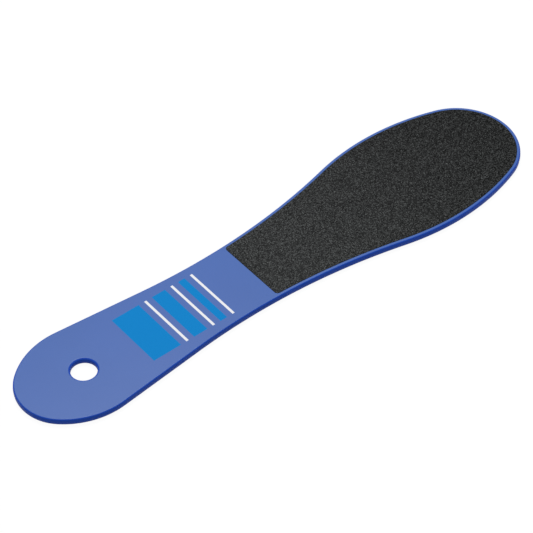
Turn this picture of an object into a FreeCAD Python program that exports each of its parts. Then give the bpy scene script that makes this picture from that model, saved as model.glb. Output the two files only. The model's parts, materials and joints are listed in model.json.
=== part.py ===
# Foot file: a moulded plastic paddle with an abrasive sheet seated in each face of its head.
# Lengths are millimetres and angles degrees. X runs from the butt of the handle to the tip of
# the head, Y across the blade and Z up. The origin lies under the middle of the length, on the
# surface that the file is laid down on, fine side down.
import FreeCAD, Part

import math
import os
from collections import namedtuple

import Sketcher
from FreeCAD import Vector

# Every driving size: name, value and what it measures.
SIZES = [
    ("overall_length", "230", "butt of the handle to tip of the head"),
    ("butt_radius", "17.8", "round end of the handle"),
    ("grip_swell", "3.3", "how far each side of the grip swells beyond the butt radius"),
    ("grip_swell_run", "8.2", "butt centre to the widest place of the grip"),
    ("tip_radius", "23.6", "round end of the head"),
    ("head_swell", "4.2", "how far each side of the head swells beyond the tip radius"),
    ("head_swell_run", "25", "widest place of the head to the tip centre"),
    ("waist_width", "32.6", "narrowest place of the blade"),
    ("taper_length", "36", "straight stretch of each side, from the grip to the neck"),
    ("blade_thickness", "2.6", "moulding, face to face"),
    ("draft_angle", "1.5", "slope of the blade's wall, both ways from the parting plane"),
    ("edge_radius", "0.6", "rounding along both edges of the blade"),
    ("hole_diameter", "9.6", "hanging hole in the grip, at its narrowest"),
    ("hole_station", "26.5", "butt end to the centre of the hanging hole"),
    ("hole_edge_radius", "0.9", "rounding at both mouths of the hanging hole"),
    ("rim_width", "1.3", "blade left round the seats"),
    ("seat_setback", "11.7", "waist to the straight start of the seats"),
    ("seat_corner_radius", "1.5", "corners at the start of the seats"),
    ("seat_depth", "0.4", "recess in each face that takes an abrasive sheet"),
    ("sheet_clearance", "0.1", "gap between a sheet's edge and its seat"),
    ("adhesive_setback", "0.3", "edge of a sheet to the edge of its adhesive"),
    ("adhesive_thickness", "0.1", "pressure-sensitive film under a sheet"),
    ("backing_thickness", "0.3", "stiff paper that carries the grains"),
    ("coarse_grit_height", "0.3", "coarse grains and their bond, on the upper sheet"),
    ("fine_grit_height", "0.15", "fine grains and their bond, on the lower sheet"),
]

# The sheet's cells are plain numbers, so a measured length is divided by its unit before it meets
# them.
UNIT = "1mm"

# Places along X and half widths along Y, as expressions of the sheet's cells. The waist lies where
# the blade's outline puts it, and that outline's sketch measures its station.
BUTT_CENTRE = "-Sizes.overall_length / 2 + Sizes.butt_radius"
GRIP_STATION = f"{BUTT_CENTRE} + Sizes.grip_swell_run"
TIP_CENTRE = "Sizes.overall_length / 2 - Sizes.tip_radius"
HEAD_STATION = f"{TIP_CENTRE} - Sizes.head_swell_run"
WAIST_STATION = f"blade_outline.Constraints.waist_station / {UNIT}"
SEAT_START = f"{WAIST_STATION} + Sizes.seat_setback"
HOLE_CENTRE = "-Sizes.overall_length / 2 + Sizes.hole_station"
GRIP_HALF = "Sizes.butt_radius + Sizes.grip_swell"
HEAD_HALF = "Sizes.tip_radius + Sizes.head_swell"
WAIST_HALF = "Sizes.waist_width / 2"

# How far inside the blade's outline the seats, the sheets and their adhesive are drawn.
SEAT_INSET = "Sizes.rim_width"
SHEET_INSET = f"{SEAT_INSET} + Sizes.sheet_clearance"
ADHESIVE_INSET = f"{SHEET_INSET} + Sizes.adhesive_setback"

# Levels along Z, from the surface that the file lies on.
FINE_GRIT_LEVEL = "0"
FINE_BACKING_LEVEL = "Sizes.fine_grit_height"
FINE_ADHESIVE_LEVEL = f"{FINE_BACKING_LEVEL} + Sizes.backing_thickness"
UNDERSIDE_LEVEL = f"{FINE_ADHESIVE_LEVEL} + Sizes.adhesive_thickness - Sizes.seat_depth"
PARTING_LEVEL = f"{UNDERSIDE_LEVEL} + Sizes.blade_thickness / 2"
COARSE_ADHESIVE_LEVEL = f"{UNDERSIDE_LEVEL} + Sizes.blade_thickness - Sizes.seat_depth"
COARSE_BACKING_LEVEL = f"{COARSE_ADHESIVE_LEVEL} + Sizes.adhesive_thickness"
COARSE_GRIT_LEVEL = f"{COARSE_BACKING_LEVEL} + Sizes.backing_thickness"

# The layers of both sheets: label, inset, thickness and the level of the layer's lower face.
LAYERS = [
    ("coarse_adhesive", ADHESIVE_INSET, "Sizes.adhesive_thickness", COARSE_ADHESIVE_LEVEL),
    ("coarse_backing", SHEET_INSET, "Sizes.backing_thickness", COARSE_BACKING_LEVEL),
    ("coarse_grit", SHEET_INSET, "Sizes.coarse_grit_height", COARSE_GRIT_LEVEL),
    ("fine_adhesive", ADHESIVE_INSET, "Sizes.adhesive_thickness", FINE_ADHESIVE_LEVEL),
    ("fine_backing", SHEET_INSET, "Sizes.backing_thickness", FINE_BACKING_LEVEL),
    ("fine_grit", SHEET_INSET, "Sizes.fine_grit_height", FINE_GRIT_LEVEL),
]

# The seats: name, height of the face that each is sunk into and whether it is cut upwards.
SEATS = [
    ("upper_seat", "Sizes.blade_thickness / 2", False),
    ("lower_seat", "-Sizes.blade_thickness / 2", True),
]

# How a sketch names the points of its pieces, its X axis and its origin.
START, END, CENTRE = 1, 2, 3
X_AXIS = -1
ORIGIN = (-1, 1)

# Slack when a face is picked by its shape.
PICK_TOLERANCE = 0.001

# One piece of an outline: bulging outwards, hollow, or straight with no centre and radius.
Piece = namedtuple("Piece", "bend centre radius", defaults=(None, None))


def make_sheet(doc):
    """Write the driving sizes into a spreadsheet, one aliased cell each."""
    sheet = doc.addObject("Spreadsheet::Sheet", "Sizes")
    for row, (name, value, meaning) in enumerate(SIZES, start=1):
        sheet.set(f"A{row}", name)
        sheet.set(f"B{row}", value)
        sheet.set(f"C{row}", meaning)
        sheet.setAlias(f"B{row}", name)
    doc.recompute()


def make_body(doc, label, level):
    """Start a sub-part whose own XY plane lies at the given level."""
    body = doc.addObject("PartDesign::Body", label)
    body.Label = label
    body.setExpression("Placement.Base.z", level)
    return body


def make_sketch(body, name, height="0"):
    """A sketch parallel to the body's XY plane, at the given height above it."""
    plane = next(plane for plane in body.Origin.OriginFeatures if plane.Role == "XY_Plane")
    sketch = body.newObject("Sketcher::SketchObject", name)
    sketch.AttachmentSupport = [(plane, "")]
    sketch.MapMode = "FlatFace"
    sketch.setExpression("AttachmentOffset.Base.z", height)
    return sketch


def bind(sketch, kind, *geometry, size):
    """Add a dimension and bind it to an expression of the sheet's cells."""
    value = sketch.evalExpression(size)
    index = sketch.addConstraint(Sketcher.Constraint(kind, *geometry, value))
    sketch.setExpression(f"Constraints[{index}]", size)


def relate(sketch, kind, *geometry):
    """Add a geometric constraint."""
    sketch.addConstraint(Sketcher.Constraint(kind, *geometry))


def fix_crest(sketch, arc, half_width, station=None):
    """Hold the place where a side arc runs level: its half width and, if given, its station."""
    place = Vector(sketch.Geometry[arc].Center.x, sketch.evalExpression(half_width), 0)
    crest = sketch.addGeometry(Part.Point(place), True)
    relate(sketch, "PointOnObject", crest, START, arc)
    relate(sketch, "Vertical", crest, START, arc, CENTRE)
    bind(sketch, "DistanceY", *ORIGIN, crest, START, size=half_width)
    if station:
        bind(sketch, "DistanceX", *ORIGIN, crest, START, size=station)
    return crest


def measure_station(sketch, point, name):
    """Add a dimension that only measures a point's place along X, for other sketches to read."""
    place = sketch.Geometry[point].X
    index = sketch.addConstraint(Sketcher.Constraint("DistanceX", *ORIGIN, point, START, place))
    sketch.setDriving(index, False)
    sketch.renameConstraint(index, name)


def fix_end(sketch, arc, station, radius):
    """Hold a round end: its centre on the X axis and its radius."""
    relate(sketch, "PointOnObject", arc, CENTRE, X_AXIS)
    bind(sketch, "DistanceX", *ORIGIN, arc, CENTRE, size=station)
    bind(sketch, "Radius", arc, size=radius)


def mirrored(point):
    """The point's twin across the X axis."""
    return Vector(point.x, -point.y, 0)


def towards(centre, other, distance):
    """The point at a distance from a centre on the way to another."""
    return centre + (other - centre).normalize() * distance


def add_piece(sketch, piece, first, last):
    """Draw one piece of an outline travelled counter-clockwise; return its index, entry and exit."""
    if piece.bend == "straight":
        return sketch.addGeometry(Part.LineSegment(first, last)), START, END
    circle = Part.Circle(piece.centre, Vector(0, 0, 1), piece.radius)
    at_first, at_last = (
        math.atan2(point.y - piece.centre.y, point.x - piece.centre.x) for point in (first, last)
    )
    if piece.bend == "hollow":
        return sketch.addGeometry(Part.ArcOfCircle(circle, at_last, at_first)), END, START
    return sketch.addGeometry(Part.ArcOfCircle(circle, at_first, at_last)), START, END


def draw_outline(sketch, near_end, sides, far_end, joints):
    """Draw a closed outline, tangent all round, and return the indexes of its pieces.

    The sides are those above the X axis, from the near end to the far end, and the joints lie
    between them. The sides below the axis are their twins.
    """
    twin_joints = [mirrored(joint) for joint in joints]
    twins = [side._replace(centre=side.centre and mirrored(side.centre)) for side in sides]
    chain = [add_piece(sketch, near_end, joints[0], twin_joints[0])]
    for side, first, last in zip(twins, twin_joints, twin_joints[1:]):
        chain.append(add_piece(sketch, side, first, last))
    chain.append(add_piece(sketch, far_end, twin_joints[-1], joints[-1]))
    for side, first, last in reversed(list(zip(sides, joints[1:], joints))):
        chain.append(add_piece(sketch, side, first, last))
    for (one, _, leave), (other, enter, _) in zip(chain, chain[1:] + chain[:1]):
        relate(sketch, "Tangent", one, leave, other, enter)
    near, *rest = (index for index, _, _ in chain)
    lower, far, upper = rest[: len(sides)], rest[len(sides)], rest[: len(sides) : -1]
    return near, list(zip(upper, lower)), far


def swell_radius(run, rise, end_radius):
    """Radius of a side arc that leaves a round end and runs level after run, rise further out."""
    half_width = end_radius + rise
    return (run**2 + half_width**2 - end_radius**2) / (2 * rise)


def end_pieces(end_station, end_radius, swell_station, swell):
    """A round end and the side arc that swells from it."""
    end = Piece("outwards", Vector(end_station, 0, 0), end_radius)
    radius = swell_radius(abs(swell_station - end_station), swell, end_radius)
    centre = Vector(swell_station, end_radius + swell - radius, 0)
    return end, Piece("outwards", centre, radius)


def head_pieces(sketch, inset):
    """Tip and head side of an outline drawn inside the blade's."""
    value = sketch.evalExpression
    tip_radius = value(f"Sizes.tip_radius - ({inset})")
    return end_pieces(value(TIP_CENTRE), tip_radius, value(HEAD_STATION), value("Sizes.head_swell"))


def crest_height(piece):
    """Half width of an outline where one of its bulging side arcs runs level."""
    return piece.centre.y + piece.radius


def neck_piece(station, waist_half, head):
    """The hollow side arc that runs level at the waist and meets the head's side arc."""
    run = head.centre.x - station
    rise = crest_height(head) - waist_half
    radius = (run**2 + rise**2) / (2 * rise) - head.radius
    return Piece("hollow", Vector(station, waist_half + radius, 0), radius)


def waist_run(shoulder, head, waist_half, taper_length):
    """How far the waist lies from the widest grip when the straight taper has the given length.

    The taper is tangent to the shoulder arc and to the neck arc, and the neck arc to the head arc,
    which leaves one quadratic equation.
    """
    span = head.centre.x - shoulder.centre.x
    drop = crest_height(shoulder) - waist_half
    rise = crest_height(head) - waist_half
    steepness = drop / rise
    linear = steepness * span
    constant = drop * (drop - rise - 2 * (shoulder.radius - head.radius)) - linear * span - taper_length**2
    return -constant / (linear + math.sqrt(linear**2 - (1 - steepness) * constant))


def head_joints(neck, head, tip):
    """Where the neck arc meets the head arc, and the head arc the tip."""
    neck_joint = towards(neck.centre, head.centre, neck.radius)
    return [neck_joint, towards(head.centre, tip.centre, head.radius)]


def taper_joints(shoulder, neck):
    """Ends of the straight side between a shoulder arc and a neck arc, tangent to both."""
    across = neck.centre - shoulder.centre
    lean = math.acos((shoulder.radius + neck.radius) / across.Length)
    angle = math.atan2(across.y, across.x) + lean
    normal = Vector(math.cos(angle), math.sin(angle), 0)
    return [shoulder.centre + normal * shoulder.radius, neck.centre - normal * neck.radius]


def draw_blade(sketch):
    """Outline of the paddle: butt, shoulders, straight tapers, necks, head sides and tip."""
    value = sketch.evalExpression
    butt_radius = value("Sizes.butt_radius")
    grip_station = value(GRIP_STATION)
    butt, shoulder = end_pieces(value(BUTT_CENTRE), butt_radius, grip_station, value("Sizes.grip_swell"))
    tip, head = head_pieces(sketch, "0")
    waist_half = value(WAIST_HALF)
    run = waist_run(shoulder, head, waist_half, value("Sizes.taper_length"))
    neck = neck_piece(grip_station + run, waist_half, head)

    sides = [shoulder, Piece("straight"), neck, head]
    butt_joint = towards(shoulder.centre, butt.centre, shoulder.radius)
    joints = [butt_joint, *taper_joints(shoulder, neck), *head_joints(neck, head, tip)]
    butt_arc, pairs, tip_arc = draw_outline(sketch, butt, sides, tip, joints)
    shoulders, tapers, necks, heads = pairs

    fix_end(sketch, butt_arc, BUTT_CENTRE, "Sizes.butt_radius")
    fix_end(sketch, tip_arc, TIP_CENTRE, "Sizes.tip_radius")
    fix_crest(sketch, shoulders[0], GRIP_HALF, GRIP_STATION)
    fix_crest(sketch, heads[0], HEAD_HALF, HEAD_STATION)
    waist = fix_crest(sketch, necks[0], WAIST_HALF)
    bind(sketch, "Distance", tapers[0], size="Sizes.taper_length")
    for upper, lower in (shoulders, necks, heads):
        relate(sketch, "Symmetric", upper, CENTRE, lower, CENTRE, X_AXIS)
    measure_station(sketch, waist, "waist_station")


def draw_patch(sketch, inset):
    """Outline of a seat or a layer: the head drawn inside the blade's outline, cut off at the neck."""
    value = sketch.evalExpression
    tip, head = head_pieces(sketch, inset)
    waist_half = f"{WAIST_HALF} - ({inset})"
    neck = neck_piece(value(WAIST_STATION), value(waist_half), head)
    start = f"{SEAT_START} + ({inset}) - ({SEAT_INSET})"
    corner_radius = f"Sizes.seat_corner_radius + ({SEAT_INSET}) - ({inset})"

    radius = value(corner_radius)
    corner_x = value(start) + radius
    reach = math.sqrt((neck.radius + radius) ** 2 - (corner_x - neck.centre.x) ** 2)
    corner = Piece("outwards", Vector(corner_x, neck.centre.y - reach, 0), radius)

    start_joint = Vector(value(start), corner.centre.y, 0)
    corner_joint = towards(neck.centre, corner.centre, neck.radius)
    joints = [start_joint, corner_joint, *head_joints(neck, head, tip)]
    start_line, pairs, tip_arc = draw_outline(sketch, Piece("straight"), [corner, neck, head], tip, joints)
    corners, necks, heads = pairs

    relate(sketch, "Vertical", start_line)
    bind(sketch, "DistanceX", *ORIGIN, start_line, START, size=start)
    bind(sketch, "Radius", corners[0], size=corner_radius)
    relate(sketch, "Equal", *corners)
    fix_end(sketch, tip_arc, TIP_CENTRE, f"Sizes.tip_radius - ({inset})")
    fix_crest(sketch, necks[0], waist_half, WAIST_STATION)
    fix_crest(sketch, heads[0], f"{HEAD_HALF} - ({inset})", HEAD_STATION)
    for upper, lower in (necks, heads):
        relate(sketch, "Symmetric", upper, CENTRE, lower, CENTRE, X_AXIS)


def draw_hole(sketch):
    """Circle of the hanging hole, on the blade's axis."""
    place = Vector(sketch.evalExpression(HOLE_CENTRE), 0, 0)
    radius = sketch.evalExpression("Sizes.hole_diameter / 2")
    mouth = sketch.addGeometry(Part.Circle(place, Vector(0, 0, 1), radius))
    relate(sketch, "PointOnObject", mouth, CENTRE, X_AXIS)
    bind(sketch, "DistanceX", *ORIGIN, mouth, CENTRE, size=HOLE_CENTRE)
    bind(sketch, "Diameter", mouth, size="Sizes.hole_diameter")


def add_pocket(body, name, sketch):
    """Cut a sketch's outline from what the body holds so far."""
    pocket = body.newObject("PartDesign::Pocket", name)
    pocket.Profile = sketch
    return pocket


def require_cut(doc, feature):
    """Recompute a cut and make sure that it took something away."""
    doc.recompute()
    if feature.Shape.Volume >= feature.BaseFeature.Shape.Volume:
        raise RuntimeError(f"{feature.Label} cuts nothing")


def round_faces(doc, body, name, is_picked, radius):
    """Round the edges of the picked faces of what the body holds so far."""
    base = body.Tip
    picked = [f"Face{i}" for i, face in enumerate(base.Shape.Faces, start=1) if is_picked(face)]
    fillet = body.newObject("PartDesign::Fillet", name)
    fillet.Base = (base, picked)
    fillet.setExpression("Radius", radius)
    doc.recompute()


def make_blade(doc, body):
    """The drafted blade, wider at its parting plane, with both edges rounded."""
    outline = make_sketch(body, "blade_outline")
    draw_blade(outline)
    blade = body.newObject("PartDesign::Pad", "blade")
    blade.Profile = outline
    blade.SideType = "Symmetric"
    blade.setExpression("Length", "Sizes.blade_thickness")
    blade.setExpression("TaperAngle", "-Sizes.draft_angle")
    doc.recompute()

    def is_level(face):
        return face.BoundBox.ZLength < PICK_TOLERANCE

    round_faces(doc, body, "edge_rounds", is_level, "Sizes.edge_radius")


def cut_seats(doc, body):
    """A recess in each face of the head for its abrasive sheet."""
    for name, height, upwards in SEATS:
        outline = make_sketch(body, f"{name}_outline", height)
        draw_patch(outline, SEAT_INSET)
        seat = add_pocket(body, name, outline)
        seat.Reversed = upwards
        seat.setExpression("Length", "Sizes.seat_depth")
        require_cut(doc, seat)


def cut_hole(doc, body):
    """The hanging hole, with both mouths rounded."""
    outline = make_sketch(body, "hole_outline")
    draw_hole(outline)
    hole = add_pocket(body, "hanging_hole", outline)
    hole.Type = "ThroughAll"
    hole.SideType = "Symmetric"
    require_cut(doc, hole)
    radius = outline.evalExpression("Sizes.hole_diameter / 2")

    def is_hole_wall(face):
        surface = face.Surface
        return isinstance(surface, Part.Cylinder) and abs(surface.Radius - radius) < PICK_TOLERANCE

    round_faces(doc, body, "hole_rounds", is_hole_wall, "Sizes.hole_edge_radius")


def make_paddle(doc):
    """The moulding: handle and head in one piece."""
    body = make_body(doc, "paddle", PARTING_LEVEL)
    make_blade(doc, body)
    cut_seats(doc, body)
    cut_hole(doc, body)
    return body


def make_layer(doc, label, inset, thickness, level):
    """One layer of an abrasive sheet: adhesive film, backing paper or grit coat."""
    body = make_body(doc, label, level)
    outline = make_sketch(body, f"{label}_outline")
    draw_patch(outline, inset)
    layer = body.newObject("PartDesign::Pad", f"{label}_layer")
    layer.Profile = outline
    layer.setExpression("Length", thickness)
    doc.recompute()
    return body


def check_document(doc, bodies):
    """Stop if any object failed, any sketch is loose or any sub-part is not one sound solid."""
    for item in doc.Objects:
        if {"Invalid", "Error"} & set(item.State):
            raise RuntimeError(f"{item.Label} failed: {item.State}")
        if item.isDerivedFrom("Sketcher::SketchObject") and not item.FullyConstrained:
            raise RuntimeError(f"{item.Label} is not fully constrained")
    for body in bodies:
        shape = body.Shape
        if shape.isNull() or not shape.isValid() or len(shape.Solids) != 1:
            raise RuntimeError(f"{body.Label} is not one valid solid")


def export(bodies):
    """Write each sub-part to its own STEP file."""
    os.makedirs("parts", exist_ok=True)
    for body in bodies:
        box = body.Shape.BoundBox
        print(f"{body.Label}: {body.Shape.Volume:.1f} mm3, z {box.ZMin:.3f} to {box.ZMax:.3f}")
        body.Shape.exportStep(f"parts/{body.Label}.step")


def main():
    doc = FreeCAD.newDocument("foot_file")
    make_sheet(doc)
    bodies = [make_paddle(doc)]
    for layer in LAYERS:
        bodies.append(make_layer(doc, *layer))
    doc.recompute()
    check_document(doc, bodies)
    export(bodies)


main()
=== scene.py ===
# %% [markdown]
# A foot file: a flat plastic paddle with a coarse abrasive sheet seated in the upper face of its head
# and a finer one in the lower face. The imported model is the frame that everything here keeps to: it
# gives each piece's place and size in metres, and no line below moves or resizes it. The box that the
# frame fills is noted at once.

# %% Load the frame
import json
import math

import bmesh
import bpy
import numpy as np
from mathutils import Matrix, Vector, geometry


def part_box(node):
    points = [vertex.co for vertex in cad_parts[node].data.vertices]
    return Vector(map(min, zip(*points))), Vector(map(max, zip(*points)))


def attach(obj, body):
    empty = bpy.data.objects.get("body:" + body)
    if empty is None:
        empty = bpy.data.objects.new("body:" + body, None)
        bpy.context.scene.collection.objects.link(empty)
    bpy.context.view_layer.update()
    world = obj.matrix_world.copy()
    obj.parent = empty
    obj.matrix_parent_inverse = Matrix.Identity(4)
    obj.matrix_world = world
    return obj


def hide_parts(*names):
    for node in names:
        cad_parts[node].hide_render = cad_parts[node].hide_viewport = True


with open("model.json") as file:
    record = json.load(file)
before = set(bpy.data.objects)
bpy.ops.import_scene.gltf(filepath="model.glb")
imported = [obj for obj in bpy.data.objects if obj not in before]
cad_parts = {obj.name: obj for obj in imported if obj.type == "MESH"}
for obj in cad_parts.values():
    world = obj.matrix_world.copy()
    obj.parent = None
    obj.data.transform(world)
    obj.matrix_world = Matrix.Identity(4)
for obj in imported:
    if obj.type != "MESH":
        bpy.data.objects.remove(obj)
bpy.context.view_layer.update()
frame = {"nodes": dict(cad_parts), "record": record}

MM = 0.001
for name in sorted(frame["nodes"]):
    low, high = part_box(name)
    extent = (high - low) / MM
    print(f"{name}: {extent.x:.1f} x {extent.y:.1f} x {extent.z:.2f} mm")

# %% [markdown]
# Seen from above, the blade has a round butt, a swelling grip, a straight taper, a hollow neck, a
# bulging head and a round tip, and a few sizes fix it all. A size that the frame shows is read from
# there, so that the dressing always fits; the others are the maker's own, each with a name. The sheets
# leave an even rim, and the waist lies a set distance behind the straight start of their seats.

# %% Sizes of the blade
PADDLE_LOW, PADDLE_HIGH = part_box("paddle")
HALF_LENGTH = PADDLE_HIGH.x
HEAD_HALF = PADDLE_HIGH.y
HEAD_X = 66.4 * MM
TIP_RADIUS = 23.6 * MM
GRIP_HALF = 21.1 * MM
GRIP_X = -89.0 * MM
BUTT_RADIUS = 17.8 * MM

SHEET_LOW, SHEET_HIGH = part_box("coarse_backing")
SHEET_INSET = HALF_LENGTH - SHEET_HIGH.x
RIM = 1.3 * MM
SEAT_START = SHEET_LOW.x - SHEET_INSET + RIM
SEAT_SETBACK = 11.7 * MM
WAIST_HALF = 16.3 * MM
WAIST_X = SEAT_START - SEAT_SETBACK
print(f"blade: {2 * HALF_LENGTH / MM:.1f} mm long, narrowest at x = {WAIST_X / MM:.3f} mm")

# %% [markdown]
# The outline is one closed line of arcs that run into each other without a corner. It could be drawn by
# hand as a Bezier curve, or taken from the frame's triangles, but then no line parallel to it would be
# true. Here each arc is a centre, a radius and the two directions between which its outward normal
# turns; a hollow arc has a negative radius. Where two arcs meet without a corner, the point lies on the
# line through their centres, so the radii that aren't given above follow from those that are.

# %% Arcs of the blade's outline
def side_arc(end, end_radius, crest_x, crest_half):
    """Centre and radius of the side that leaves a round end and runs level at its crest."""
    run = crest_x - end.x
    radius = (run**2 + crest_half**2 - end_radius**2) / (2 * (crest_half - end_radius))
    return Vector((crest_x, crest_half - radius)), radius


def heading(start, end):
    """Direction from one point to another, as an angle."""
    return math.atan2(end.y - start.y, end.x - start.x)


tip = Vector((HALF_LENGTH - TIP_RADIUS, 0))
butt = Vector((BUTT_RADIUS - HALF_LENGTH, 0))
head, HEAD_RADIUS = side_arc(tip, TIP_RADIUS, HEAD_X, HEAD_HALF)
shoulder, SHOULDER_RADIUS = side_arc(butt, BUTT_RADIUS, GRIP_X, GRIP_HALF)

neck_run = HEAD_X - WAIST_X
neck_rise = HEAD_HALF - WAIST_HALF
NECK_RADIUS = (neck_run**2 + neck_rise**2) / (2 * neck_rise) - HEAD_RADIUS
neck = Vector((WAIST_X, WAIST_HALF + NECK_RADIUS))

taper_lean = math.acos((SHOULDER_RADIUS + NECK_RADIUS) / (neck - shoulder).length)
taper = heading(shoulder, neck) + taper_lean

HEAD_ARCS = [
    (tip, TIP_RADIUS, 0, heading(head, tip)),
    (head, HEAD_RADIUS, heading(head, tip), heading(head, neck)),
]
BLADE_ARCS = HEAD_ARCS + [
    (neck, -NECK_RADIUS, heading(head, neck), taper),
    (shoulder, SHOULDER_RADIUS, taper, heading(shoulder, butt)),
    (butt, BUTT_RADIUS, heading(shoulder, butt), math.pi),
]
print(f"arcs of one side: radii {[round(radius / MM, 1) for _, radius, _, _ in BLADE_ARCS]} mm")

# %% [markdown]
# A mesh needs points, so the arcs are walked in short, even steps. Each row of the result holds a point
# and its outward normal. Only the upper half is described; the lower half is its mirror image, and any
# gap between one arc and the next is a straight stretch that is filled with points too. Wall, rim and
# sheet edge are then the same line, moved inwards along its normals.

# %% Walk the outline
OUTLINE_STEP = 0.7 * MM
SAME_POINT = 0.001 * MM


def arc_points(centre, radius, first, last, spacing):
    """Points of an arc with their outward normals, one row each."""
    count = max(1, round(abs(radius * (last - first)) / spacing))
    angles = np.linspace(first, last, count + 1)
    normals = np.stack([np.cos(angles), np.sin(angles)], axis=1)
    return np.hstack([np.array(centre) + radius * normals, normals])


def walk(arcs, spacing):
    """Points and normals all the way round an outline, counter-clockwise from its tip."""
    half = np.vstack([arc_points(*arc, spacing) for arc in arcs])
    rows = np.vstack([half, half[::-1] * [1, -1, 1, -1]])
    filled = []
    for here, there in zip(rows, np.roll(rows, -1, axis=0)):
        length = np.hypot(*(there - here)[:2])
        if length > SAME_POINT:
            shares = np.linspace(0, 1, max(1, round(length / spacing)), endpoint=False)
            filled.append(here + np.outer(shares, there - here))
    return np.vstack(filled)


def moved_in(outline, inset):
    """The line that runs parallel to an outline, a given distance inside it."""
    return outline[:, :2] - np.reshape(inset, (-1, 1)) * outline[:, 2:]


blade_outline = walk(BLADE_ARCS, OUTLINE_STEP)
print(f"blade outline: {len(blade_outline)} points, half width {blade_outline[:, 1].max() / MM:.2f} mm")

# %% [markdown]
# The abrasive sheets fill the head and stop at a straight edge just past the neck, with two small round
# corners. Their outline could be the blade's, cut off by a line, but cutting leaves sharp corners. It
# borrows the blade's own arcs round the head instead, so that the rim is even, and its corner is one
# more arc, which touches both the neck and the straight start.

# %% Outline of the seats and sheets
SEAT_CORNER = 1.5 * MM

corner_x = SEAT_START + SEAT_CORNER
corner_reach = NECK_RADIUS + RIM + SEAT_CORNER
corner = Vector((corner_x, neck.y - math.sqrt(corner_reach**2 - (corner_x - neck.x) ** 2)))
PATCH_ARCS = HEAD_ARCS + [
    (neck, -NECK_RADIUS, heading(head, neck), heading(corner, neck)),
    (corner, RIM + SEAT_CORNER, heading(corner, neck), math.pi),
]
patch_outline = walk(PATCH_ARCS, OUTLINE_STEP)
sheet_line = moved_in(patch_outline, SHEET_INSET)
print(f"sheet: {np.ptp(sheet_line[:, 0]) / MM:.2f} x {np.ptp(sheet_line[:, 1]) / MM:.2f} mm")

# %% [markdown]
# The moulding comes out of a two-part tool, so its wall leans in both ways from the line where the two
# halves met, and a fine raised bead of plastic marks that line. Both edges are rounded. This could be a
# flat mesh with a bevel modifier, but a bevel can't follow the lean of the wall and the bead together.
# The wall is therefore a short profile of insets and heights, measured from the parting plane.

# %% Profile of the wall
HALF_THICKNESS = (PADDLE_HIGH.z - PADDLE_LOW.z) / 2
DRAFT = math.radians(1.5)
EDGE_RADIUS = 0.6 * MM
EDGE_STEPS = 10
BEAD_PROUD = 0.05 * MM
BEAD_HALF_WIDTH = 0.14 * MM
BEAD_STEPS = 4


def bead_profile():
    """A low rounded ridge that starts at the parting plane and dies into the wall."""
    for step in np.linspace(0, 1, BEAD_STEPS, endpoint=False):
        height = step * BEAD_HALF_WIDTH
        ridge = BEAD_PROUD * (1 + math.cos(math.pi * step)) / 2
        yield height * math.tan(DRAFT) - ridge, height


def edge_profile():
    """From the end of the bead up the leaning wall and round the edge to the flat face."""
    yield BEAD_HALF_WIDTH * math.tan(DRAFT), BEAD_HALF_WIDTH
    centre_height = HALF_THICKNESS - EDGE_RADIUS
    centre_inset = centre_height * math.tan(DRAFT) + EDGE_RADIUS / math.cos(DRAFT)
    for angle in np.linspace(DRAFT, math.pi / 2, EDGE_STEPS + 1):
        yield centre_inset - EDGE_RADIUS * math.cos(angle), centre_height + EDGE_RADIUS * math.sin(angle)


WALL_PROFILE = [*bead_profile(), *edge_profile()]
print(f"wall: {len(WALL_PROFILE)} rings from the parting plane to the face")

# %% [markdown]
# The hanging hole is a plain bore with softly rounded mouths. It could be cut with a boolean modifier,
# which leaves ragged triangles round the cut. A profile on a circle, made like the wall's, gives clean
# bands and a true rounding. Its place and radius come from the record, where the hole is a mount.

# %% Profile of the hanging hole
HANG_HOLE = next(mount for mount in frame["record"]["mounts"] if mount["name"] == "hang_hole")
HOLE_CENTRE = Vector((HANG_HOLE["pos_m"][0], 0))
HOLE_RADIUS = HANG_HOLE["dims"]["r_mm"] * MM
HOLE_STEP = OUTLINE_STEP / 2
MOUTH_RADIUS = 0.9 * MM
MOUTH_STEPS = 6


def hole_profile():
    """From the parting plane up the bore and round its mouth, as insets from the bore's circle."""
    yield 0, 0
    for angle in np.linspace(0, math.pi / 2, MOUTH_STEPS + 1):
        height = HALF_THICKNESS - MOUTH_RADIUS * (1 - math.sin(angle))
        yield -MOUTH_RADIUS * (1 - math.cos(angle)), height


hole_outline = walk([(HOLE_CENTRE, HOLE_RADIUS, 0, math.pi)], HOLE_STEP)
print(f"hole: {2 * HOLE_RADIUS / MM:.1f} mm wide, {len(hole_outline)} points round it")

# %% [markdown]
# Wall, bore and seats are all made in one way: a profile is carried round an outline, each of its points
# becomes a ring of vertices, and two rings are joined by a band of four-sided faces. The helpers do this
# in a bmesh, the form in which Blender lets a script add vertices and faces one by one, and a last one
# turns it into an object. A curve with a bevel would be shorter to write, but its rings twist.

# %% Rings, bands and objects
def profile_rings(bm, outline, profile):
    """One closed ring of vertices for each inset and height of a profile."""
    rings = []
    for inset, height in profile:
        rings.append([bm.verts.new((x, y, height)) for x, y in moved_in(outline, inset)])
    return rings


def add_bands(bm, rings):
    """Join each ring to the next with four-sided faces."""
    for lower, upper in zip(rings, rings[1:]):
        for i in range(len(lower)):
            bm.faces.new((lower[i - 1], lower[i], upper[i], upper[i - 1]))


def border(bm, ring):
    """The edges of a ring."""
    return [bm.edges.get((ring[i - 1], ring[i])) for i in range(len(ring))]


def add_object(name, data):
    """Put a mesh, a lamp or a camera into the scene."""
    made = bpy.data.objects.new(name, data)
    bpy.context.scene.collection.objects.link(made)
    return made


def finish_mesh(bm, name):
    """Turn a bmesh into an object of the scene."""
    mesh = bpy.data.meshes.new(name)
    bm.to_mesh(mesh)
    bm.free()
    return add_object(name, mesh)


print("mesh helpers ready")

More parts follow.
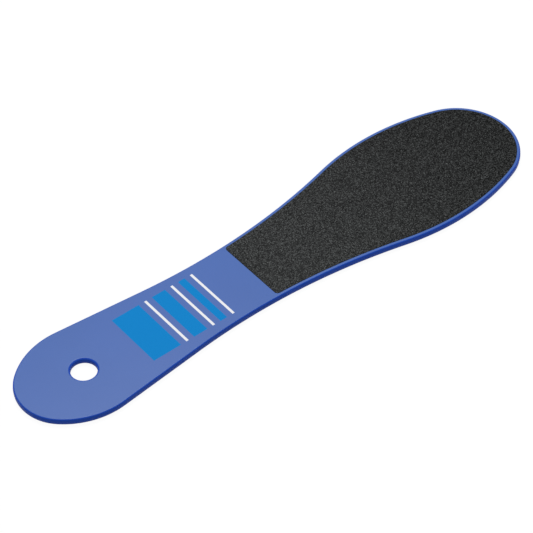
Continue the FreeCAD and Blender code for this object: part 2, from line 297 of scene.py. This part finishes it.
# %% [markdown]
# The moulding is the same above and below its parting plane, so only the upper half is built and then
# mirrored; the rings that lie on the plane merge. A seat is a shallow recess: a ring at its floor, one
# at the face and a flat floor. The face between the edge, the seat and the hole is filled with
# triangles, which does no harm because it is flat.

# %% Build the moulding
MERGE_DISTANCE = 0.0001 * MM
PARTING_HEIGHT = (PADDLE_LOW.z + PADDLE_HIGH.z) / 2
SEAT_DEPTH = PADDLE_HIGH.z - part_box("coarse_adhesive")[0].z


def upper_half(bm):
    """Wall, hole, seat and face of the moulding, above the parting plane."""
    wall = profile_rings(bm, blade_outline, WALL_PROFILE)
    bore = profile_rings(bm, hole_outline, hole_profile())
    seat_profile = [(RIM, HALF_THICKNESS - SEAT_DEPTH), (RIM, HALF_THICKNESS)]
    seat = profile_rings(bm, patch_outline, seat_profile)
    for rings in (wall, bore, seat):
        add_bands(bm, rings)
    bm.faces.new(seat[0])
    edges = [edge for rings in (wall, bore, seat) for edge in border(bm, rings[-1])]
    bmesh.ops.triangle_fill(bm, edges=edges, use_beauty=True, normal=(0, 0, 1))


bm = bmesh.new()
upper_half(bm)
bmesh.ops.mirror(bm, geom=[*bm.verts, *bm.edges, *bm.faces], merge_dist=MERGE_DISTANCE, axis="Z")
bmesh.ops.recalc_face_normals(bm, faces=bm.faces)
bmesh.ops.translate(bm, verts=bm.verts, vec=(0, 0, PARTING_HEIGHT))
open_edges = sum(not edge.is_manifold for edge in bm.edges)
moulding = finish_mesh(bm, "paddle_moulding")
print(f"moulding: {len(moulding.data.polygons)} faces, {open_edges} open edges")

# %% [markdown]
# Smooth shading blends the bands of the rounding into one curve, and edges that turn sharply, as at the
# seats, are kept sharp. Smooth shading alone would bend the light on the large flat faces near their
# borders. The weighted normal modifier lets large faces decide the shading where they meet small ones,
# so that the flats stay flat to the eye.

# %% Shade the moulding
SHARP_ANGLE = math.radians(40)

moulding.data.polygons.foreach_set("use_smooth", [True] * len(moulding.data.polygons))
moulding.data.set_sharp_from_angle(angle=SHARP_ANGLE)
moulding.modifiers.new("flat_faces_lead", "WEIGHTED_NORMAL").keep_sharp = True
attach(moulding, "root")
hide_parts("paddle")
print(f"moulding: smooth up to {math.degrees(SHARP_ANGLE):.0f} degrees, in place of the paddle node")

# %% [markdown]
# Coated abrasive is angular grains held in a bond, and at arm's length it is their facets that speckle.
# Scattering loose crystals would take millions of faces, and bump alone has no outline. Instead the coat
# is one closed sheet of flat triangles: points lie on a jittered triangular lattice in which every
# third point is the peak of a grain and its six neighbours are valleys. Some grains are missing, as on
# any real sheet, and leave a pit. The random numbers come from a generator with a fixed seed, so each
# run gives the same grains.

# %% Lattice of grains
ROW_SHARE = math.sqrt(3) / 2
JITTER_SHARE = 0.33
PEAK_SHARES = (0.5, 1.0)
VALLEY_SHARES = (0.05, 0.3)
LOST_GRAIN_SHARE = 0.25


def inside(points, line):
    """Whether each point lies inside a closed line, by counting crossings."""
    x, y = points.T
    crossings = np.zeros(len(points), int)
    for (ax, ay), (bx, by) in zip(line, np.roll(line, -1, axis=0)):
        spans = (ay > y) != (by > y)
        if spans.any():
            crossings[spans] += x[spans] < ax + (y[spans] - ay) / (by - ay) * (bx - ax)
    return crossings % 2 == 1


def grain_lattice(line, pitch, rng):
    """Jittered lattice points inside a line, and which of them are the peaks of grains."""
    low, high = line.min(axis=0), line.max(axis=0)
    columns, rows = np.ceil((high - low) / [pitch, pitch * ROW_SHARE]).astype(int) + 1
    column, row = (grid.ravel() for grid in np.meshgrid(np.arange(columns), np.arange(rows)))
    points = low + pitch * np.stack([column + row % 2 / 2, row * ROW_SHARE], axis=1)
    points += pitch * JITTER_SHARE * rng.uniform(-1, 1, points.shape)
    is_peak = (column - (row - row % 2) // 2 - row) % 3 == 0
    kept = inside(points, line)
    return points[kept], is_peak[kept]


def grain_heights(is_peak, rng):
    """Height of each lattice point as a share of the coat: grains that stand, valleys and pits."""
    count = len(is_peak)
    stands = is_peak & (rng.random(count) > LOST_GRAIN_SHARE)
    return np.where(stands, rng.uniform(*PEAK_SHARES, count), rng.uniform(*VALLEY_SHARES, count))


print(f"lattice: one grain in {1 / LOST_GRAIN_SHARE:.0f} is missing")

# %% [markdown]
# The lattice has to become a solid sheet. Blender's own Delaunay triangulation joins edge and lattice
# points into well-shaped triangles; it also fills the hollow of the neck, so triangles outside the edge
# are dropped. Joining the points row by row would be simpler, but leaves gaps along a curved edge. A
# narrow wall and a flat bottom that lies on the paper close the coat, so that it has an inside.

# %% From points to a closed sheet
def grain_triangles(edge, points):
    """Triangles between the points and inside the edge, whose points come first."""
    ring = [(i, (i + 1) % len(edge)) for i in range(len(edge))]
    flat = [Vector(point) for point in np.vstack([edge, points])]
    flat, _, faces, sources, _, _ = geometry.delaunay_2d_cdt(flat, ring, [], 0, 0, True)
    flat = np.array([tuple(point) for point in flat])
    kept = inside(flat[np.array(faces)].mean(axis=1), edge)
    faces = [tuple(face) for face, keep in zip(faces, kept) if keep]
    return flat, faces, [source[0] for source in sources]


def close_below(verts, faces, edge, base):
    """Add a wall down from the edge, whose points come first, and a flat bottom."""
    under = len(verts)
    count = len(edge)
    verts += [(x, y, base) for x, y in edge]
    for i in range(count):
        after = (i + 1) % count
        faces.append((after, i, under + i, under + after))
    faces.append(tuple(range(under + count - 1, under - 1, -1)))


print("coat helpers ready")

# %% [markdown]
# A sheet is cut with a steel die after it has been coated. Its edge runs true but a little ragged, so
# the edge points wander by a few hundredths of a millimetre, and the die crushes the grains that it
# meets, so they stand no higher than valleys. Both coats come from one function; the fine one faces down
# and has its grains closer together.

# %% Build the grain coats
RAGGED_EDGE = 0.06 * MM
COARSE_PITCH = 0.30 * MM
COARSE_SEED = 11
FINE_PITCH = 0.27 * MM
FINE_SEED = 12
UP, DOWN = 1, -1


def grain_coat(name, node, facing, pitch, seed):
    """A closed sheet of grains in place of a frame node, facing up or down."""
    rng = np.random.default_rng(seed)
    low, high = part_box(node)
    base = low.z if facing == UP else high.z
    outline = walk(PATCH_ARCS, pitch)
    edge = moved_in(outline, SHEET_INSET + rng.uniform(0, RAGGED_EDGE, len(outline)))
    points, is_peak = grain_lattice(moved_in(outline, SHEET_INSET + pitch / 2), pitch, rng)
    flat, faces, sources = grain_triangles(edge, points)
    shares = grain_heights(np.concatenate([np.zeros(len(edge), bool), is_peak]), rng)
    rise = facing * (high.z - low.z) * shares[sources]
    verts = np.column_stack([flat, base + rise]).tolist()
    close_below(verts, faces, edge, base)

    mesh = bpy.data.meshes.new(name)
    mesh.from_pydata(verts, [], faces, shade_flat=True)
    if facing == DOWN:
        mesh.flip_normals()
    print(f"{name}: {is_peak.sum()} grains, {len(faces)} faces, repaired {mesh.validate()}")
    coat = add_object(name, mesh)
    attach(coat, "root")
    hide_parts(node)
    return coat


coarse_coat = grain_coat("coarse_grains", "coarse_grit", UP, COARSE_PITCH, COARSE_SEED)
fine_coat = grain_coat("fine_grains", "fine_grit", DOWN, FINE_PITCH, FINE_SEED)

# %% [markdown]
# A material is a tree of nodes. It could be wired by hand in the shader editor; in a script, a few small
# helpers keep it readable. One fills a node's inputs, either with a value or with a link from another
# node, one adds a node, and the others wrap the nodes that are used most.

# %% Helpers for nodes
def fill_inputs(tree, node, values):
    """Set a node's inputs; one that is given another node's output is linked to it."""
    for socket, value in values.items():
        if isinstance(value, bpy.types.NodeSocket):
            tree.links.new(value, node.inputs[socket])
        else:
            node.inputs[socket].default_value = value


def add_node(tree, kind, values=None, **options):
    """Add a node, choose its options and fill its inputs."""
    made = tree.nodes.new(kind)
    for option, choice in options.items():
        setattr(made, option, choice)
    fill_inputs(tree, made, values or {})
    return made


def math_node(tree, operation, *values):
    """A Math node's result."""
    return add_node(tree, "ShaderNodeMath", dict(enumerate(values)), operation=operation).outputs[0]


def ramp(tree, value, start, end, to_start=0.0, to_end=1.0):
    """A smooth step from one value to another while the input crosses a range."""
    values = {0: value, 1: start, 2: end, 3: to_start, 4: to_end}
    return add_node(tree, "ShaderNodeMapRange", values, interpolation_type="SMOOTHSTEP").outputs[0]


def mix_colours(tree, factor, first, second):
    """The first colour where the factor is 0 and the second where it is 1."""
    values = {0: factor, 6: first, 7: second}
    return add_node(tree, "ShaderNodeMix", values, data_type="RGBA").outputs[2]


def object_place(tree):
    """The place on the piece, in metres."""
    return add_node(tree, "ShaderNodeTexCoord").outputs["Object"]


def part_of(tree, vector, axis):
    """One coordinate of a vector."""
    return add_node(tree, "ShaderNodeSeparateXYZ", {0: vector}).outputs[axis]


print("node helpers ready")

# %% [markdown]
# A node group is an effect that several materials share, each with values of its own. One helper opens
# a group with named inputs and outputs, and one places it in a tree. The shader itself is never inside a
# group: each material keeps its own, so that an export can read its sockets. Bump turns a height into a
# bent normal, which is enough for relief that is too fine to be seen in outline.

# %% Helpers for groups and materials
COLOUR, NUMBER = "NodeSocketColor", "NodeSocketFloat"


def new_group(name, inputs, outputs):
    """An empty node group with its inner ends: what comes in and what goes out."""
    group = bpy.data.node_groups.new(name, "ShaderNodeTree")
    for sockets, direction in ((inputs, "INPUT"), (outputs, "OUTPUT")):
        for socket, kind in sockets.items():
            group.interface.new_socket(socket, in_out=direction, socket_type=kind)
    return group, group.nodes.new("NodeGroupInput").outputs, group.nodes.new("NodeGroupOutput").inputs


def use_group(tree, group, values):
    """Place a group with values of its own, and give its output."""
    return add_node(tree, "ShaderNodeGroup", values, node_tree=group).outputs[0]


def new_material(name):
    """A material, its tree and its shader."""
    material = bpy.data.materials.new(name)
    material.use_nodes = True
    return material, material.node_tree, material.node_tree.nodes["Principled BSDF"]


def add_bump(tree, height, strength, depth):
    """The normal of a surface with relief of a given depth."""
    values = {"Height": height, "Strength": strength, "Distance": depth}
    return add_node(tree, "ShaderNodeBump", values).outputs[0]


print("group and material helpers ready")

# %% [markdown]
# No real surface has one even colour: resin, bond, paper and glue all drift a little lighter and darker
# over some millimetres. A painted texture could show that, but it would need an image and an unwrapped
# mesh. The first shared group multiplies a colour by a slow noise instead. It reads the object's own
# coordinates, which stay with the piece.

# %% Shared group: uneven tint
NOISE_MEAN = 0.5
TINT_DETAIL = 3


def make_uneven_tint():
    """Colour that drifts lighter and darker over patches of a given size."""
    inputs = {"Colour": COLOUR, "Size": NUMBER, "Amount": NUMBER}
    group, given, result = new_group("uneven_tint", inputs, {"Colour": COLOUR})
    scale = math_node(group, "DIVIDE", 1, given["Size"])
    values = {"Vector": object_place(group), "Scale": scale, "Detail": TINT_DETAIL}
    noise = add_node(group, "ShaderNodeTexNoise", values)
    drift = math_node(group, "SUBTRACT", noise.outputs[0], NOISE_MEAN)
    level = math_node(group, "MULTIPLY_ADD", drift, given["Amount"], 1)
    values = {0: given["Colour"], "Scale": level}
    tinted = add_node(group, "ShaderNodeVectorMath", values, operation="SCALE")
    group.links.new(tinted.outputs[0], result["Colour"])
    return group


UNEVEN_TINT = make_uneven_tint()
print(f"{UNEVEN_TINT.name}: {len(UNEVEN_TINT.nodes)} nodes")

# %% [markdown]
# A mould leaves a fine eroded skin on plastic, paper is felted, and glue dries with a faint ripple. All
# three are closed textures, finer than a mesh could carry. The second shared group gives their height: a
# noise times the rounded hollows of a Voronoi pattern, which has no grid or direction that would show.

# %% Shared group: fine skin
SKIN_DETAIL = 2


def make_fine_skin():
    """Height of a fine closed texture, from 0 to 1."""
    group, given, result = new_group("fine_skin", {"Size": NUMBER}, {"Height": NUMBER})
    scale = math_node(group, "DIVIDE", 1, given["Size"])
    place = object_place(group)
    noise = add_node(group, "ShaderNodeTexNoise", {"Vector": place, "Scale": scale, "Detail": SKIN_DETAIL})
    cells = add_node(group, "ShaderNodeTexVoronoi", {"Vector": place, "Scale": scale}, feature="SMOOTH_F1")
    height = math_node(group, "MULTIPLY", noise.outputs[0], cells.outputs["Distance"])
    group.links.new(height, result["Height"])
    return group


FINE_SKIN = make_fine_skin()
print(f"{FINE_SKIN.name}: {len(FINE_SKIN.nodes)} nodes")

# %% [markdown]
# The handle is decorated with plain printed bars: three of cyan, each half as wide as the one before,
# and a fine white line after each, all the same gap apart. They could be thin meshes of their own, but
# ink has no thickness that a hand can feel, so they will be masks in the plastic's material. First their
# places are worked out, one after the other along the handle.

# %% Places of the printed bars
CYAN_INK = (0.0, 0.222, 0.590, 1)
WHITE_INK = (0.87, 0.88, 0.90, 1)
BARS_START = -67 * MM
CYAN_BARS = 3
WIDEST_BAR = 12 * MM
WHITE_LINE = 1 * MM
BAR_GAP = 2.5 * MM
BAR_REACH = 12.5 * MM

ink_bars = []
bar_edge = BARS_START
for step in range(CYAN_BARS):
    for width, ink in ((WIDEST_BAR / 2**step, CYAN_INK), (WHITE_LINE, WHITE_INK)):
        ink_bars.append((bar_edge + width / 2, width, ink))
        bar_edge += width + BAR_GAP
print(f"bars: {len(ink_bars)}, from {BARS_START / MM:.1f} to {(bar_edge - BAR_GAP) / MM:.1f} mm")

# %% [markdown]
# Each bar's mask is worked out from the place on the piece, which keeps its edge sharp at any size, and
# a little noise gives the edge the unsteadiness of ink pressed through a screen. The bars are laid over
# the plastic's colour one by one, and the mask of all ink is kept, because ink also changes the gloss.

# %% Printed bars
INK_EDGE = 0.05 * MM
INK_WANDER = 0.12 * MM
SCREEN_MESH = 0.4 * MM


def bar_mask(tree, place, middle, width):
    """1 on a bar that lies across the handle and 0 beside it."""
    noise = add_node(tree, "ShaderNodeTexNoise", {"Vector": place, "Scale": 1 / SCREEN_MESH})
    drift = math_node(tree, "SUBTRACT", noise.outputs[0], NOISE_MEAN)
    wander = math_node(tree, "MULTIPLY", drift, INK_WANDER)
    off_middle = math_node(tree, "SUBTRACT", part_of(tree, place, "X"), middle)
    off_axis = part_of(tree, place, "Y")
    masks = []
    for offset, limit in ((off_middle, width / 2), (off_axis, BAR_REACH)):
        distance = math_node(tree, "ADD", math_node(tree, "ABSOLUTE", offset), wander)
        masks.append(ramp(tree, distance, limit + INK_EDGE, limit - INK_EDGE))
    return math_node(tree, "MULTIPLY", *masks)


def print_bars(tree, plastic):
    """The plastic's colour with the bars printed on its upper side, and the mask of all ink."""
    place = object_place(tree)
    above = math_node(tree, "GREATER_THAN", part_of(tree, place, "Z"), PARTING_HEIGHT)
    inked = 0.0
    for middle, width, ink in ink_bars:
        mask = math_node(tree, "MULTIPLY", bar_mask(tree, place, middle, width), above)
        plastic = mix_colours(tree, mask, plastic, ink)
        inked = math_node(tree, "MAXIMUM", mask, inked)
    return plastic, inked


print(f"each bar is {2 * BAR_REACH / MM:.0f} mm long")

# %% [markdown]
# The moulding is blue plastic coloured right through. Its two large faces have a satin finish, and their
# colour is made paler, which is a painted sheen; its wall has less sheen and keeps the plain deep blue.
# Two materials would need a border between them. One material shows both: the piece's own normal tells
# the flats from the wall, and that mask picks the colour, with its painted sheen, and the roughness. A
# fine skin lies on the flats only; ink fills the skin and dries matt.

# %% Blue plastic
# painted sheen: the flats' blue is paler than the plastic itself, standing in for the reflected softbox
PAINTED_SHEEN_BLUE = (0.052, 0.128, 0.414, 1)
WALL_BLUE = (0.006, 0.062, 0.445, 1)
FLAT_NORMALS = (0.93, 0.995)
RESIN_PATCH = 30 * MM
RESIN_DRIFT = 0.12
SATIN_ROUGHNESS = 0.33
WALL_ROUGHNESS = 0.45
INK_ROUGHNESS = 0.85
INK_FILL = 0.7
SKIN_SIZE = 0.16 * MM
SKIN_STRENGTH = 0.4
SKIN_DEPTH = 0.02 * MM
PLASTIC_GLOSS = 0.18


def flat_mask(tree):
    """1 on the two flat faces and 0 on the wall, with a soft change on the rounded edge."""
    normal = add_node(tree, "ShaderNodeTexCoord").outputs["Normal"]
    upright = math_node(tree, "ABSOLUTE", part_of(tree, normal, "Z"))
    return ramp(tree, upright, *FLAT_NORMALS)


def make_blue_plastic():
    """Satin flats with a painted sheen in their colour, a deeper blue wall, and the printed bars."""
    material, tree, shader = new_material("blue_plastic_satin")
    flat = flat_mask(tree)
    # the flats get the paler blue with its painted sheen, the wall gets the plain deep blue
    blue = mix_colours(tree, flat, WALL_BLUE, PAINTED_SHEEN_BLUE)
    blue = use_group(tree, UNEVEN_TINT, {"Colour": blue, "Size": RESIN_PATCH, "Amount": RESIN_DRIFT})
    colour, inked = print_bars(tree, blue)
    bare_roughness = ramp(tree, flat, 0, 1, WALL_ROUGHNESS, SATIN_ROUGHNESS)
    skin = use_group(tree, FINE_SKIN, {"Size": SKIN_SIZE})
    filled = math_node(tree, "MULTIPLY", inked, INK_FILL)
    height = math_node(tree, "MULTIPLY", skin, math_node(tree, "SUBTRACT", flat, filled))
    fill_inputs(tree, shader, {
        "Base Color": colour,
        "Roughness": ramp(tree, inked, 0, 1, bare_roughness, INK_ROUGHNESS),
        "Normal": add_bump(tree, height, SKIN_STRENGTH, SKIN_DEPTH),
        "Specular IOR Level": PLASTIC_GLOSS,
    })
    return material


moulding.data.materials.append(make_blue_plastic())
print("moulding: blue plastic, satin flats, deeper wall")

# %% [markdown]
# Both coats are dark mineral grains in a black bond. Painting every grain's face by hand is out of the
# question, so a third shared group works out the shade: each cell of a Voronoi pattern is a grain, either
# grey or nearly black, and the shade fades towards the foot of the grain, where bond covers it and where
# it is also painted shade in the hollows between grains.

# %% Shared group: shade of the grains
DARK_GRAIN_SHADE = 0.02
DARK_SHARE = 0.47
SHADE_SPREAD = 0.15


def make_grain_shade():
    """How bright each grain is, from black bond and painted hollow shade at its foot to its own shade at
    its crest.
    """
    inputs = {"Size": NUMBER, "Foot": NUMBER, "Crest": NUMBER}
    group, given, result = new_group("grain_shade", inputs, {"Shade": NUMBER})
    place = object_place(group)
    scale = math_node(group, "DIVIDE", 1, given["Size"])
    cells = add_node(group, "ShaderNodeTexVoronoi", {"Vector": place, "Scale": scale})
    own = add_node(group, "ShaderNodeSeparateColor", {0: cells.outputs["Color"]}).outputs[0]
    own = ramp(group, own, DARK_SHARE - SHADE_SPREAD, DARK_SHARE + SHADE_SPREAD, DARK_GRAIN_SHADE, 1)
    # darker towards the foot: black bond, and painted shade in the hollows between grains
    rise = ramp(group, part_of(group, place, "Z"), given["Foot"], given["Crest"])
    group.links.new(math_node(group, "MULTIPLY", own, rise), result["Shade"])
    return group


GRAIN_SHADE = make_grain_shade()
print(f"{GRAIN_SHADE.name}: {len(GRAIN_SHADE.nodes)} nodes")

# %% [markdown]
# The two grits differ only in the size of their grains and in which way they face, so one function makes
# both materials. Bond and grains get darker towards the tip, as the sheet does in the photograph: this is
# painted light, a painted sheen at the neck end that fades to painted shade at the tip. Bond is dull, and
# the crest of a grain glints a little.

# %% Grains in their bond
# painted light: bond and grains are paler at the neck end, a painted sheen, and darker at the tip, painted
# shade
NECK_BOND_PAINTED_SHEEN = (0.0160, 0.0168, 0.0168, 1)
TIP_BOND_PAINTED_SHADE = (0.0030, 0.0032, 0.0032, 1)
NECK_GREY_PAINTED_SHEEN = (0.228, 0.239, 0.239, 1)
TIP_GREY_PAINTED_SHADE = (0.162, 0.170, 0.170, 1)
BOND_PATCH = 6 * MM
BOND_DRIFT = 0.3
BOND_ROUGHNESS = 0.5
GRAIN_ROUGHNESS = 0.4
GRIT_GLOSS = 0.04
COARSE_GRAIN = 0.30 * MM
FINE_GRAIN = 0.26 * MM


def make_abrasive(name, size, foot, crest):
    """Grains of one size in black bond, between the heights of their foot and their crest."""
    material, tree, shader = new_material(name)
    # painted light falloff along the sheet, from painted sheen at the neck to painted shade at the tip
    along = ramp(tree, part_of(tree, object_place(tree), "X"), SHEET_LOW.x, SHEET_HIGH.x)
    bond = mix_colours(tree, along, NECK_BOND_PAINTED_SHEEN, TIP_BOND_PAINTED_SHADE)
    bond = use_group(tree, UNEVEN_TINT, {"Colour": bond, "Size": BOND_PATCH, "Amount": BOND_DRIFT})
    grey = mix_colours(tree, along, NECK_GREY_PAINTED_SHEEN, TIP_GREY_PAINTED_SHADE)
    shade = use_group(tree, GRAIN_SHADE, {"Size": size, "Foot": foot, "Crest": crest})
    fill_inputs(tree, shader, {
        "Base Color": mix_colours(tree, shade, bond, grey),
        "Roughness": ramp(tree, shade, 0, 1, BOND_ROUGHNESS, GRAIN_ROUGHNESS),
        "Specular IOR Level": GRIT_GLOSS,
    })
    return material


coarse_low, coarse_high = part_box("coarse_grit")
fine_low, fine_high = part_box("fine_grit")
coarse_coat.data.materials.append(make_abrasive("coarse_grit", COARSE_GRAIN, coarse_low.z, coarse_high.z))
fine_coat.data.materials.append(make_abrasive("fine_grit", FINE_GRAIN, fine_high.z, fine_low.z))
print("coats: coarse grit above, fine grit below")

# %% [markdown]
# Under the grains lies a stiff paper, dyed black and felted. Only a hair of it shows at the edge of a
# sheet, but it is a real piece of the frame and keeps its own shape, so it gets a real finish too. Its
# fibres run mostly along the roll. They could be drawn as thousands of curves; a noise that is stretched
# along X looks the same at this size.

# %% Backing paper
PAPER_BLACK = (0.020, 0.020, 0.021, 1)
FIBRE_GREY = (0.060, 0.058, 0.055, 1)
FIBRE_LENGTH = 2.5 * MM
FIBRE_WIDTH = 0.25 * MM
FIBRE_DETAIL = 4
FIBRES_SHOW = (0.5, 0.7)
DYE_PATCH = 8 * MM
DYE_DRIFT = 0.3
PAPER_ROUGHNESS = 0.85
FIBRE_ROUGHNESS = 0.7
FELT_SIZE = 0.1 * MM
FELT_STRENGTH = 0.6
FELT_DEPTH = 0.02 * MM


def make_backing_paper():
    """Black paper with paler fibres along the sheet."""
    material, tree, shader = new_material("backing_paper_black")
    stretch = (1 / FIBRE_LENGTH, 1 / FIBRE_WIDTH, 1 / FIBRE_WIDTH)
    place = add_node(tree, "ShaderNodeMapping", {"Vector": object_place(tree), "Scale": stretch})
    values = {"Vector": place.outputs[0], "Scale": 1, "Detail": FIBRE_DETAIL}
    fibres = ramp(tree, add_node(tree, "ShaderNodeTexNoise", values).outputs[0], *FIBRES_SHOW)
    dyed = use_group(tree, UNEVEN_TINT, {"Colour": PAPER_BLACK, "Size": DYE_PATCH, "Amount": DYE_DRIFT})
    felt = use_group(tree, FINE_SKIN, {"Size": FELT_SIZE})
    fill_inputs(tree, shader, {
        "Base Color": mix_colours(tree, fibres, dyed, FIBRE_GREY),
        "Roughness": ramp(tree, fibres, 0, 1, PAPER_ROUGHNESS, FIBRE_ROUGHNESS),
        "Normal": add_bump(tree, felt, FELT_STRENGTH, FELT_DEPTH),
    })
    return material


backing_paper = make_backing_paper()
print(f"paper: fibres {FIBRE_LENGTH / MM:.1f} x {FIBRE_WIDTH / MM:.2f} mm")

# %% [markdown]
# Under the paper lies a film of glue, yellowish, with small bubbles and a faint ripple. Modelled bubbles
# would be lost in a tenth of a millimetre, so they are spots round the points of a Voronoi pattern. Paper
# and glue stay the frame's own solids, because their shape is right; they only change their material.

# %% Adhesive film
GLUE_AMBER = (0.50, 0.42, 0.26, 1)
BUBBLE_PALE = (0.70, 0.66, 0.55, 1)
BUBBLE_SPACING = 2 * MM
BUBBLE_EDGE = (0.16, 0.1)
GLUE_PATCH = 12 * MM
GLUE_DRIFT = 0.25
GLUE_ROUGHNESS = 0.25
BUBBLE_ROUGHNESS = 0.5
RIPPLE_SIZE = 0.3 * MM
RIPPLE_STRENGTH = 0.2
RIPPLE_DEPTH = 0.01 * MM


def make_adhesive_film():
    """Amber film with pale bubbles."""
    material, tree, shader = new_material("adhesive_film")
    values = {"Vector": object_place(tree), "Scale": 1 / BUBBLE_SPACING}
    cells = add_node(tree, "ShaderNodeTexVoronoi", values)
    bubble = ramp(tree, cells.outputs["Distance"], *BUBBLE_EDGE)
    film = use_group(tree, UNEVEN_TINT, {"Colour": GLUE_AMBER, "Size": GLUE_PATCH, "Amount": GLUE_DRIFT})
    ripple = use_group(tree, FINE_SKIN, {"Size": RIPPLE_SIZE})
    fill_inputs(tree, shader, {
        "Base Color": mix_colours(tree, bubble, film, BUBBLE_PALE),
        "Roughness": ramp(tree, bubble, 0, 1, GLUE_ROUGHNESS, BUBBLE_ROUGHNESS),
        "Normal": add_bump(tree, ripple, RIPPLE_STRENGTH, RIPPLE_DEPTH),
    })
    return material


def dress(node, material):
    """Give a node of the frame a finish in place of its plain one."""
    mesh = frame["nodes"][node].data
    mesh.materials.clear()
    mesh.materials.append(material)


adhesive_film = make_adhesive_film()
for side in ("coarse", "fine"):
    dress(f"{side}_backing", backing_paper)
    dress(f"{side}_adhesive", adhesive_film)
print("backing and adhesive dressed on both sides")

# %% [markdown]
# A small product is photographed in a white tent, on a white floor. A floor that is bright enough to
# look white would throw too much light up at the wall, so this one is two things at once. For light it
# is a matt grey sheet. Rays that show it, from the camera or sent on by gloss or glass, meet mostly a
# glow that brings it up to white, and a matt share that keeps the object's soft shadow.

# %% Floor
WHITE = (1, 1, 1, 1)
FLOOR_HALF = 3.0
FLOOR_GAP = 0.02 * MM
FLOOR_GREY = (0.34, 0.34, 0.34, 1)
FLOOR_GLOW = 1.18
GLOW_SHARE = 0.8


def seen_rays(tree):
    """1 for rays that show the background: from the camera, or sent on by gloss or glass."""
    rays = add_node(tree, "ShaderNodeLightPath").outputs
    seen = math_node(tree, "MAXIMUM", rays["Is Camera Ray"], rays["Is Glossy Ray"])
    return math_node(tree, "MAXIMUM", seen, rays["Is Transmission Ray"])


def make_floor_finish():
    """Matt grey for light, and mostly a white glow for rays that show it."""
    material, tree, _ = new_material("floor_white")
    tree.nodes.clear()
    share = math_node(tree, "MULTIPLY", seen_rays(tree), GLOW_SHARE)
    matt = add_node(tree, "ShaderNodeBsdfDiffuse", {"Color": FLOOR_GREY})
    glow = add_node(tree, "ShaderNodeEmission", {"Color": WHITE, "Strength": FLOOR_GLOW})
    mixed = add_node(tree, "ShaderNodeMixShader", {0: share, 1: matt.outputs[0], 2: glow.outputs[0]})
    add_node(tree, "ShaderNodeOutputMaterial", {0: mixed.outputs[0]})
    return material


bm = bmesh.new()
bmesh.ops.create_grid(bm, x_segments=1, y_segments=1, size=FLOOR_HALF)
floor = finish_mesh(bm, "floor")
floor.location.z = -FLOOR_GAP
floor.data.materials.append(make_floor_finish())
print(f"floor: {2 * FLOOR_HALF:.0f} m wide")

# %% [markdown]
# The cloth of the tent lights the object evenly from all round. Lamps on every side could do that, but
# each would leave its own shadow; the world's background has none. It is dimmer as light than it is to
# the eye, because a tent is seen white even where it sends little light.

# %% World
SKY_LIGHT = 0.51
SKY_SEEN = 1.0


def make_world():
    """An even white tent round the scene."""
    world = bpy.data.worlds.new("white_tent")
    world.use_nodes = True
    tree = world.node_tree
    tree.nodes.clear()
    strength = ramp(tree, seen_rays(tree), 0, 1, SKY_LIGHT, SKY_SEEN)
    glow = add_node(tree, "ShaderNodeBackground", {"Color": WHITE, "Strength": strength})
    add_node(tree, "ShaderNodeOutputWorld", {0: glow.outputs[0]})
    return world


bpy.context.scene.world = make_world()
print(f"world: {SKY_LIGHT} as light, {SKY_SEEN} to the eye")

# %% [markdown]
# One softbox hangs high up behind the object. Its mirror image falls a little past the butt of the
# handle, on the camera's side, so the satin face pales gently towards that end, while the wall that the
# camera sees turns away from the lamp and stays deep. A spot or a point lamp would do for brightness, but
# a square area lamp gives the soft edge of shadow that a softbox has: the larger the lamp, the softer.

# %% Softbox
SOFTBOX_PLACE = Vector((0.30, 0.50, 1.20))
SOFTBOX_SIZE = 0.4
SOFTBOX_POWER = 9.7

light = bpy.data.lights.new("softbox", "AREA")
light.shape = "SQUARE"
light.size = SOFTBOX_SIZE
light.energy = SOFTBOX_POWER
softbox = add_object("softbox", light)
softbox.location = SOFTBOX_PLACE
softbox.rotation_mode = "QUATERNION"
softbox.rotation_quaternion = (-SOFTBOX_PLACE).to_track_quat("-Z", "Y")
print(f"softbox: {SOFTBOX_SIZE} m square, {SOFTBOX_POWER} W")

# %% [markdown]
# The camera stands in front and to the left, half way between level and overhead, with a long lens that
# keeps the far end of the blade nearly as large as the near end. Its bearing, height and distance were
# found by laying the outline over the photograph. It looks past the middle of the upper face by a few
# millimetres, which centres the blade in the frame. A constraint could aim it; three axes that are worked
# out from the two angles also allow the small roll.

# %% Camera
AZIMUTH = math.radians(-39.212)
ELEVATION = math.radians(45.803)
ROLL = math.radians(-0.248)
DISTANCE = 802.7 * MM
ASIDE = 4.199 * MM
ALOFT = 4.281 * MM
FOCAL_PIXELS = 2173.747
IMAGE_PIXELS = 533
SENSOR = 36

level = math.cos(ELEVATION)
back = Vector((math.sin(AZIMUTH) * level, -math.cos(AZIMUTH) * level, math.sin(ELEVATION)))
right = Vector((math.cos(AZIMUTH), math.sin(AZIMUTH), 0))
up = back.cross(right)
across = math.cos(ROLL) * right + math.sin(ROLL) * up
upward = math.cos(ROLL) * up - math.sin(ROLL) * right

lens = bpy.data.cameras.new("portrait")
lens.sensor_width = SENSOR
lens.lens = FOCAL_PIXELS / IMAGE_PIXELS * SENSOR
camera = add_object("portrait", lens)
middle = Vector((0, 0, PADDLE_HIGH.z))
standpoint = middle - ASIDE * across - ALOFT * upward + DISTANCE * back
camera.matrix_world = Matrix.Translation(standpoint) @ Matrix((across, upward, back)).transposed().to_4x4()
bpy.context.scene.camera = camera
bpy.context.scene.view_settings.view_transform = "Standard"
print(f"camera: {lens.lens:.0f} mm lens, {DISTANCE:.2f} m away")
